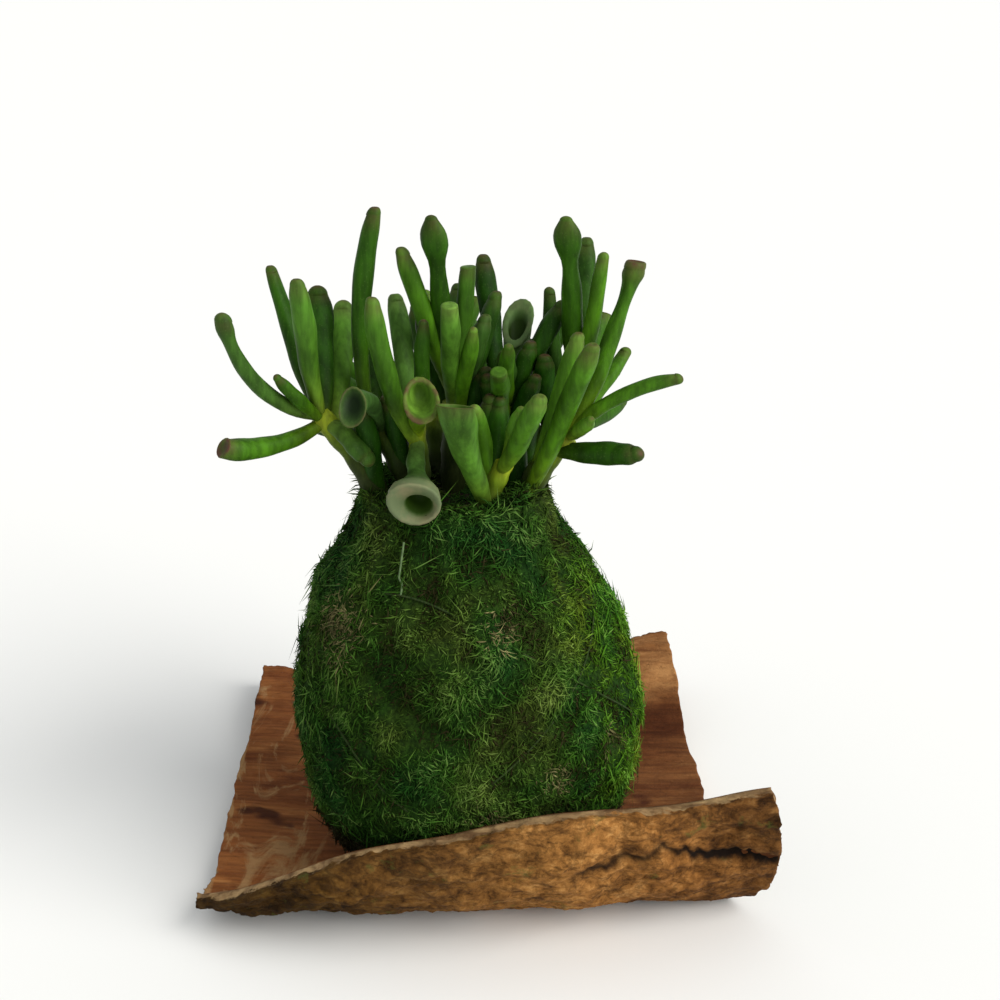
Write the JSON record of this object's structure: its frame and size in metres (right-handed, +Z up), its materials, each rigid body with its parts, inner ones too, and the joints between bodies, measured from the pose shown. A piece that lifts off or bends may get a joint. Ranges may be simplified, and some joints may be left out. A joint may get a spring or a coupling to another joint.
{
  "type": "kokedama moss ball plant",
  "caption": "Finger-leaved jade plant rooted in a pear-shaped moss ball bound with thread, resting on a curled slab of tree bark.",
  "frame": {"origin": "on the table surface under the bark, midway between the part's left and right sides and midway between its front and back", "axes": "+Z up through the ball and the stems, front with the bark's raised lip towards -Y, +X towards the end where the lip is highest"},
  "size_m": [0.1766, 0.1868, 0.2115],
  "materials": {
    "bark": "dry bark, rough cork outside and smooth reddish inside",
    "moss": "matt sheet moss with short curled fronds",
    "soil": "damp crumbly soil",
    "thread": "thin twisted thread",
    "leaf": "waxy satin leaf, reddish brown at the cupped tips"
  },
  "bodies": {
    "root": {"bark_slab": "bark", "moss_cover": "moss", "soil_ball": "soil", "binding_thread": "thread", "stem_left": "leaf", "stem_left_inner": "leaf", "stem_middle_left": "leaf", "stem_middle": "leaf", "stem_front": "leaf", "stem_middle_right": "leaf", "stem_right": "leaf", "stem_right_back": "leaf", "stem_back": "leaf", "stem_back_right": "leaf"}
  },
  "joints": []
}
